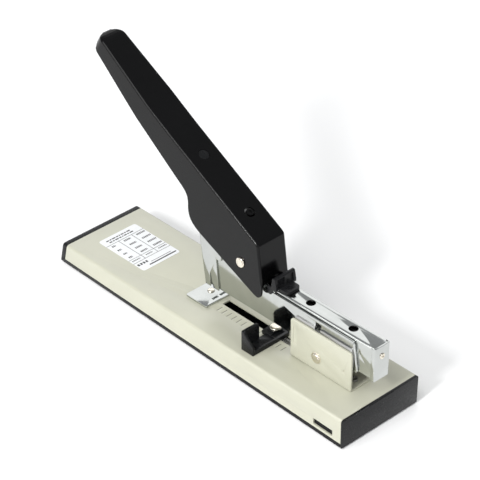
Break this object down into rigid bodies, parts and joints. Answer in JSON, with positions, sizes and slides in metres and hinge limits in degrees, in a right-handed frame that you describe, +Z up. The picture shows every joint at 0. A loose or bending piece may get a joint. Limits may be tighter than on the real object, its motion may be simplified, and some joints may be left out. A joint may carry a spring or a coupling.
{
  "type": "heavy-duty stapler",
  "caption": "Long-handled heavy-duty desk stapler: cream wedge base, chrome hinged body, drawer magazine that slides out behind, black lever handle and a sliding paper guide.",
  "frame": {"origin": "on the table under the middle of the base", "axes": "+X towards the back end where the magazine drawer pulls out, +Y across the base, +Z up"},
  "size_m": [0.294, 0.074, 0.1905],
  "materials": {
    "cream_paint": "satin ivory enamel",
    "black_plastic": "fine-grained charcoal moulding",
    "black_enamel": "semi-gloss black enamel",
    "chrome": "bright nickel-chrome plate on steel sheet",
    "nickel": "warm nickel plate",
    "plain_steel": "zinc-plated",
    "rubber": "matt",
    "label_paper": "printed paper"
  },
  "bodies": {
    "base": {"base_cover": "cream_paint", "base_tray": "black_plastic", "cap_back": "black_plastic", "cap_front": "black_plastic", "feet": "rubber", "tray_screws": "plain_steel", "label": "label_paper", "window_clips": "black_plastic", "anvil_plate": "chrome", "anvil_rivet": "nickel", "bracket": "cream_paint", "bracket_screws": "plain_steel", "hinge_pin": "nickel", "slot_spring": "plain_steel", "lift_spring": "plain_steel"},
    "body": {"frame_plates": "chrome", "frame_floor": "chrome", "hinge_cheeks": "plain_steel", "nose_shell": "chrome", "nose_block": "plain_steel", "pivot_pin": "nickel", "pivot_collars": "plain_steel", "frame_rivets": "nickel", "handle_spring": "plain_steel", "latch_spring": "plain_steel"},
    "latch": {"latch": "black_plastic"},
    "drawer": {"drawer_cover": "chrome", "drawer_end": "chrome", "end_rivet": "nickel", "staple_rail": "plain_steel", "staples": "plain_steel", "pusher_rod": "nickel", "pusher_spring": "plain_steel"},
    "pusher": {"pusher": "plain_steel"},
    "driver": {"driver": "plain_steel"},
    "handle": {"handle_shell": "black_enamel", "handle_lever": "plain_steel", "handle_roller": "plain_steel", "handle_plug": "black_plastic", "lever_screw": "plain_steel"},
    "guide": {"guide_fence": "black_plastic", "guide_knob": "nickel", "guide_slider": "plain_steel"}
  },
  "joints": [
    {"name": "body_hinge", "type": "hinge", "parent": "base", "child": "body", "pos_m": [0.09522, 0, 0.03476], "axis": [0, -1, 0], "range_deg": [0, 6.8], "stiffness_Nm_per_rad": 2, "springref_deg": -22.92, "deforming": ["lift_spring"]},
    {"name": "handle_hinge", "type": "hinge", "parent": "body", "child": "handle", "pos_m": [0.02177, 0, 0.07705], "axis": [0, -1, 0], "range_deg": [0, 36], "stiffness_Nm_per_rad": 0.6, "springref_deg": -51.57},
    {"name": "driver_slide", "type": "slide", "parent": "body", "child": "driver", "axis": [0.1696, 0, -0.9855], "range_m": [0, 0.0258]},
    {"name": "drawer_slide", "type": "slide", "parent": "body", "child": "drawer", "axis": [0.9998, 0, 0.0221], "range_m": [0, 0.1]},
    {"name": "pusher_slide", "type": "slide", "parent": "drawer", "child": "pusher", "axis": [0.9998, 0, 0.0221], "range_m": [0, 0.065], "stiffness_N_per_m": 25, "springref_m": -0.08, "deforming": ["pusher_spring"]},
    {"name": "latch_hinge", "type": "hinge", "parent": "body", "child": "latch", "pos_m": [0.04706, 0, 0.0643], "axis": [0, -1, 0], "range_deg": [0, 10], "stiffness_Nm_per_rad": 0.03, "springref_deg": -22.92},
    {"name": "guide_slide", "type": "slide", "parent": "base", "child": "guide", "axis": [0.9998, 0, 0.0221], "range_m": [-0.042, 0]}
  ],
  "couplings": [
    {"joint": "driver_slide", "follows": "handle_hinge", "m_per_rad": 0.0409}
  ]
}
